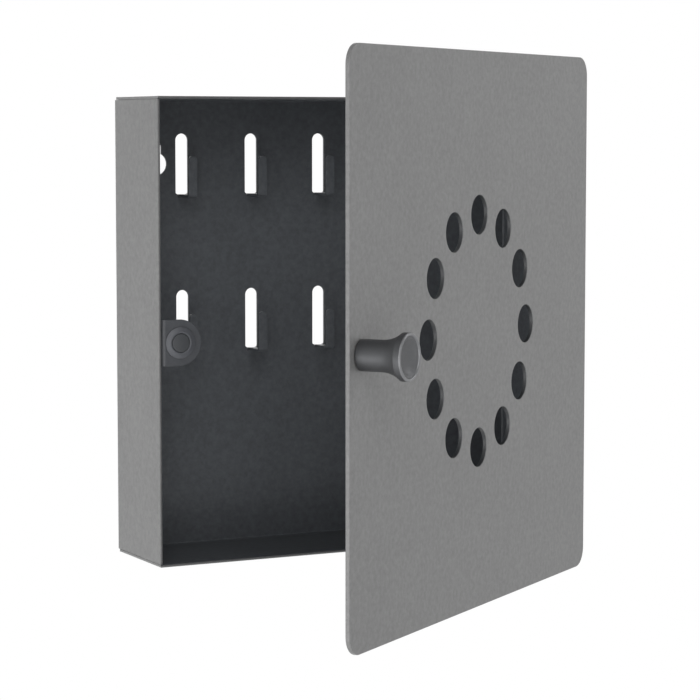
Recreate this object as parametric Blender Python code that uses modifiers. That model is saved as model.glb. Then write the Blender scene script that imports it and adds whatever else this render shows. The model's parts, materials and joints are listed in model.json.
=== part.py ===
"""Wall key cabinet: a folded steel box with lanced hooks, a door plate on two hinges and a magnet catch.

Metres, +Z up, +X to the right, +Y into the wall. The origin lies on the wall plane,
midway between the two screws that the cabinet hangs on.
"""
import bpy
import bmesh
from math import asin, cos, pi, radians, sin
from mathutils import Matrix, Vector

# Gap kept between two pieces that touch, how far a cutter runs past the wall it cuts,
# and how close two points lie that become one
SEAT_GAP = 0.0003
CUT_OVERRUN = 0.004
MERGE_DISTANCE = 0.00001

# Body, one pan folded from sheet
BODY_WIDTH = 0.200
BODY_HEIGHT = 0.202
BODY_DEPTH = 0.050
BODY_SHEET = 0.0012
BODY_BEND = 0.0022
HANG_DROP = 0.022

# Windows in the back, left where the hooks are lanced out
COLUMNS = 5
ROWS = 2
COLUMN_INSET = 0.032
ROW_PITCH = 0.070
SLOT_TOP_DROP = 0.016
SLOT_WIDTH = 0.006
SLOT_LENGTH = 0.029
ROUND_END_SHARE = 0.98

# Hooks, measured on the middle of their sheet, which the bending leaves a little thinner
LANCE_CUT = 0.0001
HOOK_WIDTH = SLOT_WIDTH - 2 * LANCE_CUT
HOOK_SHEET_SHARE = 0.92
HOOK_SHEET = BODY_SHEET * HOOK_SHEET_SHARE
HOOK_BEND = 0.0014
HOOK_REACH = 0.0127
HOOK_RISE = 0.019
HOOK_ROOT = 0.0015
HOOK_TIP_ROUND_SHARE = 0.96

# Keyhole hangers
KEYHOLE_INSET = 0.01975
KEYHOLE_ENTRY_DIAMETER = 0.010
KEYHOLE_NECK_WIDTH = 0.0048
KEYHOLE_TRAVEL = 0.0075

# Door plate
DOOR_SIDE_OVERHANG = 0.020
DOOR_END_OVERHANG = 0.018
DOOR_RISE = 0.001
DOOR_SHEET = 0.002
DOOR_CORNER = 0.0085
DOOR_GAP = 0.0008
DOOR_OPEN_ANGLE = radians(35.5)

# Ring of round windows in the door
WINDOW_COUNT = 12
WINDOW_DIAMETER = 0.0168
WINDOW_RING_DIAMETER = 0.0995

# Butt hinges in the corner between the right wall and the door
HINGE_LENGTH = 0.030
HINGE_INSET = 0.030
HINGE_SHEET = 0.0012
HINGE_LEAF_WIDTH = 0.011
KNUCKLE_DIAMETER = 0.005
KNUCKLE_GAP = 0.0004
PIN_DIAMETER = 0.0024
PIN_HEAD_DIAMETER = 0.0042
PIN_HEAD_HEIGHT = 0.0009
LEAF_CORNER = 0.002

# Turned knob with a screw and a lock washer
KNOB_INSET = 0.0095
KNOB_DROP = 0.0012
KNOB_STEM_DIAMETER = 0.0126
KNOB_HEAD_DIAMETER = 0.0193
KNOB_LENGTH = 0.0213
KNOB_FLARE_START = 0.0086
KNOB_RIM_WIDTH = 0.0029
KNOB_RIM_ROUND = 0.0010
KNOB_DISH_DEPTH = 0.0014
KNOB_FOOT_CHAMFER = 0.0004
SCREW_DIAMETER = 0.004
SCREW_BITE = 0.008
SCREW_TIP_ROOM = 0.001
SCREW_HEAD_DIAMETER = 0.0076
SCREW_HEAD_HEIGHT = 0.0016
SCREW_HEAD_ROUND = 0.0008
RECESS_DIAMETER = 0.0030
RECESS_DEPTH = 0.0009
WASHER_DIAMETER = 0.0072
WASHER_THICKNESS = 0.0009

# Magnet catch on an angle bracket behind the left wall's front edge
CATCH_DROP = 0.0043
BRACKET_HEIGHT = 0.0200
BRACKET_REACH = 0.0190
BRACKET_DEPTH = 0.0140
BRACKET_SHEET = 0.0012
BRACKET_BEND = 0.0014
MAGNET_DIAMETER = 0.0080
MAGNET_LENGTH = 0.0050
MAGNET_PROUD = 0.0002
HOLDER_FLANGE_DIAMETER = 0.0136
HOLDER_FACE_DIAMETER = 0.0100
HOLDER_FLANGE_HEIGHT = 0.0010
HOLDER_SHANK_DIAMETER = 0.0108
HOLDER_BARB_DIAMETER = 0.0120
HOLDER_BARB_LENGTH = 0.0015
HOLDER_FLOOR = 0.0008

# Facets
ROUND_STEPS = 32
SMALL_ROUND_STEPS = 24
BEND_STEPS = 4
CORNER_STEPS = 8
SHARP_EDGE_ANGLE = radians(35)

# Finishes: sRGB grey values, roughness and metallic
OUTSIDE_PAINT = ("#858687", 0.45, 0.0)
KNOB_METAL = ("#77787A", 0.38, 0.85)
ZINC = ("#9A9C9E", 0.35, 0.9)
MAGNET_BLACK = ("#4B4D50", 0.5, 0.3)
HOLDER_PLASTIC = ("#5C5E63", 0.5, 0.0)
CATCH_PAINT = ("#62646A", 0.45, 0.0)

# Places that several pieces share
BODY_TOP = HANG_DROP
BODY_BOTTOM = BODY_TOP - BODY_HEIGHT
BODY_MIDDLE = (BODY_TOP + BODY_BOTTOM) / 2
BODY_FRONT = -BODY_DEPTH
RIGHT_WALL = BODY_WIDTH / 2
DOOR_MIDDLE = BODY_MIDDLE + DOOR_RISE
DOOR_WIDTH = BODY_WIDTH + 2 * DOOR_SIDE_OVERHANG
DOOR_HEIGHT = BODY_HEIGHT + 2 * DOOR_END_OVERHANG
DOOR_BACK = BODY_FRONT - DOOR_GAP
DOOR_FACE = DOOR_BACK - DOOR_SHEET
KNUCKLE_RADIUS = KNUCKLE_DIAMETER / 2
AXIS_X = RIGHT_WALL + SEAT_GAP + KNUCKLE_RADIUS
AXIS_Y = DOOR_BACK + SEAT_GAP + KNUCKLE_RADIUS
PANEL_MIDDLE = -BODY_SHEET / 2
COLUMN_PITCH = (BODY_WIDTH - 2 * COLUMN_INSET) / (COLUMNS - 1)
ROW_TOPS = [BODY_TOP - SLOT_TOP_DROP - ROW_PITCH * row for row in range(ROWS)]
COLUMN_PLACES = [COLUMN_PITCH * (column - (COLUMNS - 1) / 2) for column in range(COLUMNS)]
KNOB_X = -DOOR_WIDTH / 2 + KNOB_INSET
KNOB_Z = DOOR_MIDDLE - KNOB_DROP
BRACKET_FRONT = DOOR_BACK + SEAT_GAP + MAGNET_PROUD + HOLDER_FLANGE_HEIGHT + SEAT_GAP


def clear_scene():
    for old in list(bpy.data.objects):
        bpy.data.objects.remove(old, do_unlink=True)


def new_collection(name):
    collection = bpy.data.collections.new(name)
    bpy.context.scene.collection.children.link(collection)
    return collection


def linear(channel):
    share = int(channel, 16) / 255
    return share / 12.92 if share <= 0.04045 else ((share + 0.055) / 1.055) ** 2.4


def give_material(obj, finish):
    colour, roughness, metallic = finish
    material = bpy.data.materials.new(obj.name + "_finish")
    material.use_nodes = True
    shader = material.node_tree.nodes["Principled BSDF"]
    channels = [linear(colour[start:start + 2]) for start in (1, 3, 5)]
    shader.inputs["Base Color"].default_value = (*channels, 1)
    shader.inputs["Roughness"].default_value = roughness
    shader.inputs["Metallic"].default_value = metallic
    obj.data.materials.append(material)


def add_object(name, bm, collection, parent=None):
    mesh = bpy.data.meshes.new(name)
    bm.to_mesh(mesh)
    bm.free()
    obj = bpy.data.objects.new(name, mesh)
    collection.objects.link(obj)
    obj.parent = parent
    if collection is CUTTERS:
        obj.hide_render = True
        obj.display_type = "WIRE"
    return obj


def smooth_round_faces(obj):
    obj.data.shade_smooth()
    obj.data.set_sharp_from_angle(angle=SHARP_EDGE_ANGLE)


def box_mesh(low, high):
    low = Vector(low)
    high = Vector(high)
    bm = bmesh.new()
    bmesh.ops.create_cube(bm, size=1.0)
    bmesh.ops.scale(bm, vec=high - low, verts=bm.verts)
    bmesh.ops.translate(bm, vec=(low + high) / 2, verts=bm.verts)
    return bm


def edges_along(bm, axis, wanted):
    """Edges that run along one axis and whose middle passes the test."""
    found = []
    for edge in bm.edges:
        step = edge.verts[1].co - edge.verts[0].co
        if abs(step[axis]) > step.length / 2 and wanted((edge.verts[0].co + edge.verts[1].co) / 2):
            found.append(edge)
    return found


def round_edges(bm, edges, radius, segments):
    bmesh.ops.bevel(bm, geom=edges, offset=radius, offset_type="OFFSET", segments=segments,
                    profile=0.5, affect="EDGES", material=-1, clamp_overlap=True)


def cylinder_mesh(radius, start, end, steps=ROUND_STEPS):
    """A closed cylinder between two points."""
    start = Vector(start)
    end = Vector(end)
    way = end - start
    turn = way.to_track_quat("Z", "Y").to_matrix().to_4x4()
    bm = bmesh.new()
    bmesh.ops.create_cone(bm, cap_ends=True, segments=steps, radius1=radius, radius2=radius,
                          depth=way.length, matrix=Matrix.Translation((start + end) / 2) @ turn)
    return bm


def boolean(obj, cutter, operation="DIFFERENCE"):
    modifier = obj.modifiers.new(operation.lower(), "BOOLEAN")
    modifier.operation = operation
    modifier.object = cutter


def thicken(obj, thickness, offset):
    modifier = obj.modifiers.new("sheet", "SOLIDIFY")
    modifier.thickness = thickness
    modifier.offset = offset
    modifier.use_even_offset = True


def turned(name, profile, collection, parent=None, steps=ROUND_STEPS):
    """A solid of revolution about Z; the profile runs down its outer side, as radius and height."""
    bm = bmesh.new()
    points = [bm.verts.new((radius, 0, height)) for radius, height in profile]
    for first, second in zip(points, points[1:]):
        bm.edges.new((first, second))
    obj = add_object(name, bm, collection, parent)
    modifier = obj.modifiers.new("turn", "SCREW")
    modifier.steps = steps
    modifier.render_steps = steps
    modifier.use_merge_vertices = True
    modifier.merge_threshold = MERGE_DISTANCE
    modifier.use_smooth_shade = True
    return obj


def arc(centre, radius, start, end, steps=BEND_STEPS):
    """Points on a circle from one angle to another, both ends included."""
    angles = [start + (end - start) * step / steps for step in range(steps + 1)]
    return [(centre[0] + radius * cos(angle), centre[1] + radius * sin(angle)) for angle in angles]


def strip_mesh(path, width_from, width_to, place):
    """An open strip of sheet along a flat path; place puts a path point and a width into space."""
    bm = bmesh.new()
    lines = []
    for width in (width_from, width_to):
        lines.append([bm.verts.new(place(first, second, width)) for first, second in path])
    for step in range(len(path) - 1):
        bm.faces.new((lines[0][step], lines[0][step + 1], lines[1][step + 1], lines[1][step]))
    ends = [lines[0][-1], lines[1][-1]]
    return bm, ends


def round_sheet_end(bm, ends, radius):
    """Rounds the two free corners of a strip."""
    bmesh.ops.bevel(bm, geom=ends, offset=radius, offset_type="OFFSET", segments=CORNER_STEPS,
                    profile=0.5, affect="VERTICES", material=-1, clamp_overlap=True)


def slot_cutter(column_place, row_top):
    bm = box_mesh((column_place - SLOT_WIDTH / 2, -BODY_SHEET - CUT_OVERRUN, row_top - SLOT_LENGTH),
                  (column_place + SLOT_WIDTH / 2, CUT_OVERRUN, row_top))
    top_edges = edges_along(bm, 1, lambda middle: middle.z > row_top - SLOT_LENGTH / 2)
    round_edges(bm, top_edges, SLOT_WIDTH / 2 * ROUND_END_SHARE, CORNER_STEPS)
    return bm


def hook_path(row_top):
    """Middle of the hook's sheet, as (depth, height): out of the back, forward, then up to the tip."""
    root = row_top - SLOT_LENGTH
    shelf = root + HOOK_BEND
    tab = PANEL_MIDDLE - HOOK_REACH
    path = [(PANEL_MIDDLE, root - HOOK_ROOT)]
    path += arc((PANEL_MIDDLE - HOOK_BEND, root), HOOK_BEND, 0, pi / 2)
    path += arc((tab + HOOK_BEND, shelf + HOOK_BEND), HOOK_BEND, -pi / 2, -pi)
    path.append((tab, root + HOOK_RISE))
    return path


def hook_mesh(column_place, row_top):
    bm, tip = strip_mesh(hook_path(row_top), column_place - HOOK_WIDTH / 2, column_place + HOOK_WIDTH / 2,
                         lambda depth, height, across: (across, depth, height))
    round_sheet_end(bm, tip, HOOK_WIDTH / 2 * HOOK_TIP_ROUND_SHARE)
    return bm


def joined(meshes):
    """One bmesh that holds several separate shapes."""
    whole = bmesh.new()
    for bm in meshes:
        mesh = bpy.data.meshes.new("piece")
        bm.to_mesh(mesh)
        bm.free()
        whole.from_mesh(mesh)
        bpy.data.meshes.remove(mesh)
    return whole


def add_keyhole_cutters(side):
    place = side * (RIGHT_WALL - KEYHOLE_INSET)
    entry = cylinder_mesh(KEYHOLE_ENTRY_DIAMETER / 2, (place, -BODY_SHEET - CUT_OVERRUN, -KEYHOLE_TRAVEL),
                          (place, CUT_OVERRUN, -KEYHOLE_TRAVEL))
    neck = box_mesh((place - KEYHOLE_NECK_WIDTH / 2, -BODY_SHEET - CUT_OVERRUN, -KEYHOLE_TRAVEL),
                    (place + KEYHOLE_NECK_WIDTH / 2, CUT_OVERRUN, KEYHOLE_NECK_WIDTH / 2))
    top_edges = edges_along(neck, 1, lambda middle: middle.z > 0)
    round_edges(neck, top_edges, KEYHOLE_NECK_WIDTH / 2 * ROUND_END_SHARE, CORNER_STEPS)
    label = "left" if side < 0 else "right"
    return [add_object("keyhole_entry_" + label, entry, CUTTERS),
            add_object("keyhole_neck_" + label, neck, CUTTERS)]


def build_body():
    """Back and four walls in one piece, with the hooks bent out of the back."""
    bm = box_mesh((-RIGHT_WALL, BODY_FRONT, BODY_BOTTOM), (RIGHT_WALL, 0, BODY_TOP))
    front = [face for face in bm.faces if face.normal.y < -0.5]
    bmesh.ops.delete(bm, geom=front, context="FACES_ONLY")
    back_edges = [edge for edge in bm.edges if all(vert.co.y > BODY_FRONT / 2 for vert in edge.verts)]
    round_edges(bm, back_edges, BODY_BEND, BEND_STEPS)
    body = add_object("body_pan", bm, PARTS)
    give_material(body, OUTSIDE_PAINT)
    thicken(body, BODY_SHEET, -1)

    places = [(column, top) for top in ROW_TOPS for column in COLUMN_PLACES]
    slots = add_object("hook_windows", joined([slot_cutter(*place) for place in places]), CUTTERS)
    boolean(body, slots)
    for side in (-1, 1):
        for cutter in add_keyhole_cutters(side):
            boolean(body, cutter)
    hooks = add_object("hook_tabs", joined([hook_mesh(*place) for place in places]), CUTTERS)
    thicken(hooks, HOOK_SHEET, 0)
    boolean(body, hooks, "UNION")
    smooth_round_faces(body)


def window_places():
    """Centres of the door's round windows, the first one at the top."""
    radius = WINDOW_RING_DIAMETER / 2
    angles = [2 * pi * index / WINDOW_COUNT for index in range(WINDOW_COUNT)]
    return [(radius * sin(angle), DOOR_MIDDLE + radius * cos(angle)) for angle in angles]


def hinged(x, y, z):
    """A place on the closed door, seen from the hinge axis."""
    return (x - AXIS_X, y - AXIS_Y, z)


def door_hole(radius, x, z):
    return cylinder_mesh(radius, hinged(x, DOOR_FACE - CUT_OVERRUN, z), hinged(x, DOOR_BACK + CUT_OVERRUN, z))


def build_door(pivot):
    bm = box_mesh(hinged(-DOOR_WIDTH / 2, DOOR_FACE, DOOR_MIDDLE - DOOR_HEIGHT / 2),
                  hinged(DOOR_WIDTH / 2, DOOR_BACK, DOOR_MIDDLE + DOOR_HEIGHT / 2))
    round_edges(bm, edges_along(bm, 1, lambda middle: True), DOOR_CORNER, CORNER_STEPS)
    door = add_object("door_plate", bm, PARTS, pivot)
    give_material(door, OUTSIDE_PAINT)
    holes = [door_hole(WINDOW_DIAMETER / 2, x, z) for x, z in window_places()]
    holes.append(door_hole(SCREW_DIAMETER / 2 + SEAT_GAP, KNOB_X, KNOB_Z))
    boolean(door, add_object("door_holes", joined(holes), CUTTERS, pivot))
    smooth_round_faces(door)


def knuckle_spans(bottom):
    """Heights of the three knuckles of a hinge, from the bottom up."""
    pitch = (HINGE_LENGTH + KNUCKLE_GAP) / 3
    return [(bottom + pitch * index, bottom + pitch * (index + 1) - KNUCKLE_GAP) for index in range(3)]


def hinge_leaf(name, bottom, notches, corner, away, wall, parent):
    """A leaf with its knuckles, drawn up from one outline and notched for the other leaf's knuckles.

    corner is the axis, away runs along the leaf and wall points at its seat.
    """
    corner = Vector((*corner, 0))
    away = Vector((*away, 0))
    wall = Vector((*wall, 0))
    root = KNUCKLE_RADIUS + SEAT_GAP
    far = root + HINGE_LEAF_WIDTH
    inner_face = KNUCKLE_RADIUS - HINGE_SHEET
    meeting_angle = asin(inner_face / KNUCKLE_RADIUS)
    outline = arc((0, 0), KNUCKLE_RADIUS, pi / 2, 2 * pi + meeting_angle, SMALL_ROUND_STEPS)
    outline += [(far, inner_face), (far, KNUCKLE_RADIUS)]

    bm = bmesh.new()
    points = [bm.verts.new(corner + away * along + wall * across + Vector((0, 0, bottom)))
              for along, across in outline]
    section = bm.faces.new(points)
    grown = bmesh.ops.extrude_face_region(bm, geom=[section])["geom"]
    risen = [item for item in grown if isinstance(item, bmesh.types.BMVert)]
    bmesh.ops.translate(bm, vec=(0, 0, HINGE_LENGTH), verts=risen)
    bmesh.ops.recalc_face_normals(bm, faces=bm.faces)
    across_axis = 0 if abs(wall.x) > abs(wall.y) else 1
    half_way = corner.dot(away) + (root + far) / 2
    free_edges = edges_along(bm, across_axis, lambda middle: middle.dot(away) > half_way)
    round_edges(bm, free_edges, LEAF_CORNER, BEND_STEPS)
    leaf = add_object(name, bm, PARTS, parent)
    give_material(leaf, CATCH_PAINT)

    reach = KNUCKLE_RADIUS + CUT_OVERRUN
    one = corner - away * reach - wall * reach
    other = corner + away * root + wall * reach
    cutters = [box_mesh((min(one.x, other.x), min(one.y, other.y), low),
                        (max(one.x, other.x), max(one.y, other.y), high)) for low, high in notches]
    boolean(leaf, add_object(f"{name}_notches", joined(cutters), CUTTERS, parent))
    bore = cylinder_mesh(PIN_DIAMETER / 2 + SEAT_GAP, corner + Vector((0, 0, bottom - CUT_OVERRUN)),
                         corner + Vector((0, 0, bottom + HINGE_LENGTH + CUT_OVERRUN)), SMALL_ROUND_STEPS)
    boolean(leaf, add_object(f"{name}_bore", bore, CUTTERS, parent))
    smooth_round_faces(leaf)


def build_hinge(name, bottom, pivot):
    lowest, middle, highest = knuckle_spans(bottom)
    body_notches = [(lowest[1], highest[0])]
    door_notches = [(bottom - CUT_OVERRUN, middle[0]), (middle[1], bottom + HINGE_LENGTH + CUT_OVERRUN)]
    hinge_leaf(name + "_body_leaf", bottom, body_notches, (AXIS_X, AXIS_Y), (0, 1), (-1, 0), None)
    hinge_leaf(name + "_door_leaf", bottom, door_notches, (0, 0), (1, 0), (0, -1), pivot)
    head = PIN_HEAD_DIAMETER / 2
    shank = PIN_DIAMETER / 2
    low = -SEAT_GAP
    high = HINGE_LENGTH + SEAT_GAP
    pin = turned(name + "_pin", [(0, high + PIN_HEAD_HEIGHT), (head, high + PIN_HEAD_HEIGHT), (head, high),
                                 (shank, high), (shank, low), (head, low), (head, low - PIN_HEAD_HEIGHT),
                                 (0, low - PIN_HEAD_HEIGHT)], PARTS, steps=SMALL_ROUND_STEPS)
    pin.location = (AXIS_X, AXIS_Y, bottom)
    give_material(pin, ZINC)


def knob_profile():
    """Radius and height from the face's centre to the foot: dish, rim, flare, stem."""
    head = KNOB_HEAD_DIAMETER / 2
    stem = KNOB_STEM_DIAMETER / 2
    dish_radius = head - 2 * KNOB_RIM_ROUND
    flare_end = KNOB_LENGTH - KNOB_RIM_WIDTH
    dish = []
    for step in range(CORNER_STEPS):
        share = step / CORNER_STEPS
        dish.append((dish_radius * share, KNOB_LENGTH - KNOB_DISH_DEPTH * (1 - share ** 2)))
    rim = arc((head - KNOB_RIM_ROUND, KNOB_LENGTH - KNOB_RIM_ROUND), KNOB_RIM_ROUND, pi, 0, 2 * BEND_STEPS)
    flare = []
    for step in range(CORNER_STEPS + 1):
        share = step / CORNER_STEPS
        rise = 1 - share
        radius = stem + (head - stem) * rise ** 2 * (2 - rise)
        flare.append((radius, flare_end + (KNOB_FLARE_START - flare_end) * share))
    foot = [(stem, KNOB_FOOT_CHAMFER), (stem - KNOB_FOOT_CHAMFER, 0), (0, 0)]
    return dish + rim + flare + foot


def face_forward(obj, x, y, z):
    """Stands a turned piece on the door with its axis pointing out of the door's face."""
    obj.location = hinged(x, y, z)
    obj.rotation_euler = (pi / 2, 0, 0)


def build_knob(pivot):
    foot = DOOR_FACE - SEAT_GAP
    knob = turned("knob", knob_profile(), PARTS, pivot, steps=ROUND_STEPS)
    face_forward(knob, KNOB_X, foot, KNOB_Z)
    give_material(knob, KNOB_METAL)
    bore_end = foot - SCREW_BITE - SCREW_TIP_ROOM
    bore = cylinder_mesh(SCREW_DIAMETER / 2 + SEAT_GAP, hinged(KNOB_X, bore_end, KNOB_Z),
                         hinged(KNOB_X, foot + CUT_OVERRUN, KNOB_Z), SMALL_ROUND_STEPS)
    boolean(knob, add_object("knob_bore", bore, CUTTERS, pivot))

    washer_front = DOOR_BACK + SEAT_GAP
    inner = SCREW_DIAMETER / 2 + SEAT_GAP
    outer = WASHER_DIAMETER / 2
    ring = [(inner, WASHER_THICKNESS), (outer, WASHER_THICKNESS), (outer, 0), (inner, 0),
            (inner, WASHER_THICKNESS)]
    washer = turned("knob_lock_washer", ring, PARTS, pivot, steps=SMALL_ROUND_STEPS)
    face_forward(washer, KNOB_X, washer_front + WASHER_THICKNESS, KNOB_Z)
    give_material(washer, ZINC)

    head_front = washer_front + WASHER_THICKNESS + SEAT_GAP
    shank = head_front - foot + SCREW_BITE
    head = SCREW_HEAD_DIAMETER / 2
    profile = [(0, shank), (SCREW_DIAMETER / 2, shank), (SCREW_DIAMETER / 2, 0), (head, 0)]
    profile += arc((head - SCREW_HEAD_ROUND, SCREW_HEAD_ROUND - SCREW_HEAD_HEIGHT), SCREW_HEAD_ROUND,
                   0, -pi / 2)
    recess = RECESS_DIAMETER / 2
    recess_floor = RECESS_DEPTH - SCREW_HEAD_HEIGHT
    profile += [(recess, -SCREW_HEAD_HEIGHT), (recess, recess_floor), (0, recess_floor)]
    screw = turned("knob_screw", profile, PARTS, pivot, steps=SMALL_ROUND_STEPS)
    face_forward(screw, KNOB_X, head_front, KNOB_Z)
    give_material(screw, ZINC)


def build_catch():
    """Angle bracket on the left wall, a snap-in holder in its front plate and the magnet in the holder."""
    wall = -RIGHT_WALL + BODY_SHEET + SEAT_GAP + BRACKET_SHEET / 2
    plate = BRACKET_FRONT + BRACKET_SHEET / 2
    centre_z = BODY_MIDDLE - CATCH_DROP
    far_end = -RIGHT_WALL + BODY_SHEET + BRACKET_REACH
    path = [(wall, BRACKET_FRONT + BRACKET_DEPTH)]
    path += arc((wall + BRACKET_BEND, plate + BRACKET_BEND), BRACKET_BEND, pi, 3 * pi / 2)
    path.append((far_end, plate))
    bm, free_end = strip_mesh(path, centre_z - BRACKET_HEIGHT / 2, centre_z + BRACKET_HEIGHT / 2,
                              lambda across, depth, height: (across, depth, height))
    round_sheet_end(bm, free_end, BRACKET_HEIGHT / 2 * ROUND_END_SHARE)
    bracket = add_object("magnet_bracket", bm, PARTS)
    give_material(bracket, CATCH_PAINT)
    thicken(bracket, BRACKET_SHEET, 0)
    centre_x = far_end - BRACKET_HEIGHT / 2
    hole = cylinder_mesh(HOLDER_SHANK_DIAMETER / 2 + SEAT_GAP,
                         (centre_x, BRACKET_FRONT - CUT_OVERRUN, centre_z),
                         (centre_x, BRACKET_FRONT + BRACKET_SHEET + CUT_OVERRUN, centre_z))
    boolean(bracket, add_object("magnet_bracket_hole", hole, CUTTERS))
    smooth_round_faces(bracket)

    seat = BRACKET_FRONT - SEAT_GAP
    bore = MAGNET_DIAMETER / 2 + SEAT_GAP
    bore_floor = HOLDER_FLANGE_HEIGHT + MAGNET_PROUD - MAGNET_LENGTH - SEAT_GAP
    shank = HOLDER_SHANK_DIAMETER / 2
    barb = HOLDER_BARB_DIAMETER / 2
    barb_top = -BRACKET_SHEET - 2 * SEAT_GAP
    profile = [(0, bore_floor), (bore, bore_floor), (bore, HOLDER_FLANGE_HEIGHT),
               (HOLDER_FACE_DIAMETER / 2, HOLDER_FLANGE_HEIGHT), (HOLDER_FLANGE_DIAMETER / 2, 0),
               (shank, 0), (shank, barb_top), (barb, barb_top), (shank, barb_top - HOLDER_BARB_LENGTH),
               (shank, bore_floor - HOLDER_FLOOR), (0, bore_floor - HOLDER_FLOOR)]
    holder = turned("magnet_holder", profile, PARTS)
    holder.location = (centre_x, seat, centre_z)
    holder.rotation_euler = (pi / 2, 0, 0)
    give_material(holder, HOLDER_PLASTIC)
    face = seat - HOLDER_FLANGE_HEIGHT - MAGNET_PROUD
    magnet = add_object("catch_magnet", cylinder_mesh(MAGNET_DIAMETER / 2, (centre_x, face, centre_z),
                                                      (centre_x, face + MAGNET_LENGTH, centre_z)), PARTS)
    give_material(magnet, MAGNET_BLACK)
    smooth_round_faces(magnet)


clear_scene()
PARTS = new_collection("key_cabinet")
CUTTERS = new_collection("cutters")

pivot = bpy.data.objects.new("door_pivot", None)
PARTS.objects.link(pivot)
pivot.location = (AXIS_X, AXIS_Y, 0)
pivot.rotation_euler = (0, 0, DOOR_OPEN_ANGLE)

build_body()
build_door(pivot)
build_hinge("upper_hinge", BODY_TOP - HINGE_INSET - HINGE_LENGTH, pivot)
build_hinge("lower_hinge", BODY_BOTTOM + HINGE_INSET, pivot)
build_knob(pivot)
build_catch()
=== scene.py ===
# %% [markdown]
# A wall key cabinet, dressed for its portrait
#
# The cabinet is a shallow box folded from steel sheet, with ten hooks lanced out of its back. A flat
# door plate with a ring of round windows hangs on two hinges, a turned knob pulls it open, and a small
# magnet holds it shut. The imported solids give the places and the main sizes. This lesson builds the
# surfaces that the eye meets: bends, rolled knuckles, softened sheet edges and the finishes on them.

# %% Imports and the fixed frame
import json
from math import asin, cos, hypot, pi, radians, sin

import bmesh
import bpy
from mathutils import Matrix, Vector


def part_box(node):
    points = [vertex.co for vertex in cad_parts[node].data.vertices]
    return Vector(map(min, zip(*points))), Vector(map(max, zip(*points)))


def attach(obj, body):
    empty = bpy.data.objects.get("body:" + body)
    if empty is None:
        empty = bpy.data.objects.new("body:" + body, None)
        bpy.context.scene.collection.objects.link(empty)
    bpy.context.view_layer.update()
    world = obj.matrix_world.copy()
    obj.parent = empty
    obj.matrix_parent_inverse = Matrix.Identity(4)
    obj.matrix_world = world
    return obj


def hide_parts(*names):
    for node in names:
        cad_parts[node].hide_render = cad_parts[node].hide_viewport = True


MM = 0.001


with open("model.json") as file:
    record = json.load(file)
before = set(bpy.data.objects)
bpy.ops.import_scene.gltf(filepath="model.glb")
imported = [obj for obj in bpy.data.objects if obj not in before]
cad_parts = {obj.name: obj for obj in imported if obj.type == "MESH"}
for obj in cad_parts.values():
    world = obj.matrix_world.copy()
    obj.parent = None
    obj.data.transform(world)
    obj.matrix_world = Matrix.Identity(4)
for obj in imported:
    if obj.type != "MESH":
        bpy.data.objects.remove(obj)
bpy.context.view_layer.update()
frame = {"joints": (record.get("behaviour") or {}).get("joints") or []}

# %% [markdown]
# The door stands open in the picture, and its hinge is the one joint of the model. Every piece of the
# door is easier to draw while the door is shut, where it lies square to the axes. It could be drawn
# turned instead, but then each corner needs trigonometry. So the shut place is drawn, and one matrix
# swings it to the open place.

# %% The hinge and the door's swing
hinge = frame["joints"][0]
AXIS = Vector((hinge["pos_m"][0], hinge["pos_m"][1], 0))
OPEN_DEGREES = -hinge["range_deg"][0]
TURN = Matrix.Rotation(radians(OPEN_DEGREES), 4, "Z")
SWING = Matrix.Translation(AXIS) @ TURN @ Matrix.Translation(-AXIS)
print("door open by", round(OPEN_DEGREES, 1), "degrees")

# %% [markdown]
# The camera stands left of the cabinet and looks a little down, from just over a metre away, through a
# long lens. These few numbers were found by matching edges of the model to edges of the photograph.
# Euler angles are enough here, because the camera is level to within a tenth of a degree.

# %% Camera
CAMERA_PLACE = Vector((-511.31, -1033.09, 8.28)) * MM
CAMERA_YAW = radians(27.087)
CAMERA_PITCH = radians(5.065)
LENS_MM = 128.59
SENSOR_MM = 36

scene = bpy.context.scene
lens = bpy.data.cameras.new("camera")
lens.sensor_width = SENSOR_MM
lens.lens = LENS_MM
camera = bpy.data.objects.new("camera", lens)
camera.location = CAMERA_PLACE
camera.rotation_euler = (pi / 2 - CAMERA_PITCH, 0, -CAMERA_YAW)
scene.collection.objects.link(camera)
scene.camera = camera
print("camera", round(CAMERA_PLACE.length / MM), "mm from the origin, lens", LENS_MM, "mm")

# %% [markdown]
# Colours are written as the hex values that a paint chip or a picture editor shows. Blender wants them
# linear, so one function turns them over. A second small function adds any node with its settings and
# links, and a third starts a material with its shader, whose sockets take the plain numbers.

# %% Colour and node helpers
def hex_colour(code):
    """Linear red, green, blue and alpha of an sRGB hex value."""
    shares = [int(code[start:start + 2], 16) / 255 for start in (1, 3, 5)]
    return (*[s / 12.92 if s <= 0.04045 else ((s + 0.055) / 1.055) ** 2.4 for s in shares], 1)


def add(tree, kind, links=(), **settings):
    """Adds a node. Links are (socket, source); a setting is a property or, failing that, a socket."""
    node = tree.nodes.new(kind)
    for name, value in settings.items():
        if hasattr(node, name):
            setattr(node, name, value)
        else:
            node.inputs[name.replace("_", " ")].default_value = value
    for socket, source in links:
        tree.links.new(source, node.inputs[socket])
    return node


def start_material(name, colour, roughness, metallic=0.0):
    """A material with plain values. Its IOR stays at the default, 1.5."""
    material = bpy.data.materials.new(name)
    material.use_nodes = True
    shader = material.node_tree.nodes["Principled BSDF"]
    shader.inputs["Base Color"].default_value = hex_colour(colour)
    shader.inputs["Roughness"].default_value = roughness
    shader.inputs["Metallic"].default_value = metallic
    return material, material.node_tree, shader


print("middle grey #808080 is", round(hex_colour("#808080")[0], 3), "in linear light")

# %% [markdown]
# A picture like this is taken in a white tent, under a darker ceiling. A world that is bright enough to
# look white would wash the steel out, so the camera sees white, glossy rays see a bright tent, and the
# light that falls on the cabinet is a weaker copy of it. The ceiling is a slow fall in the world's tone
# towards the zenith: it gives the knob and the rounded edges their dark upper line.

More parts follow.
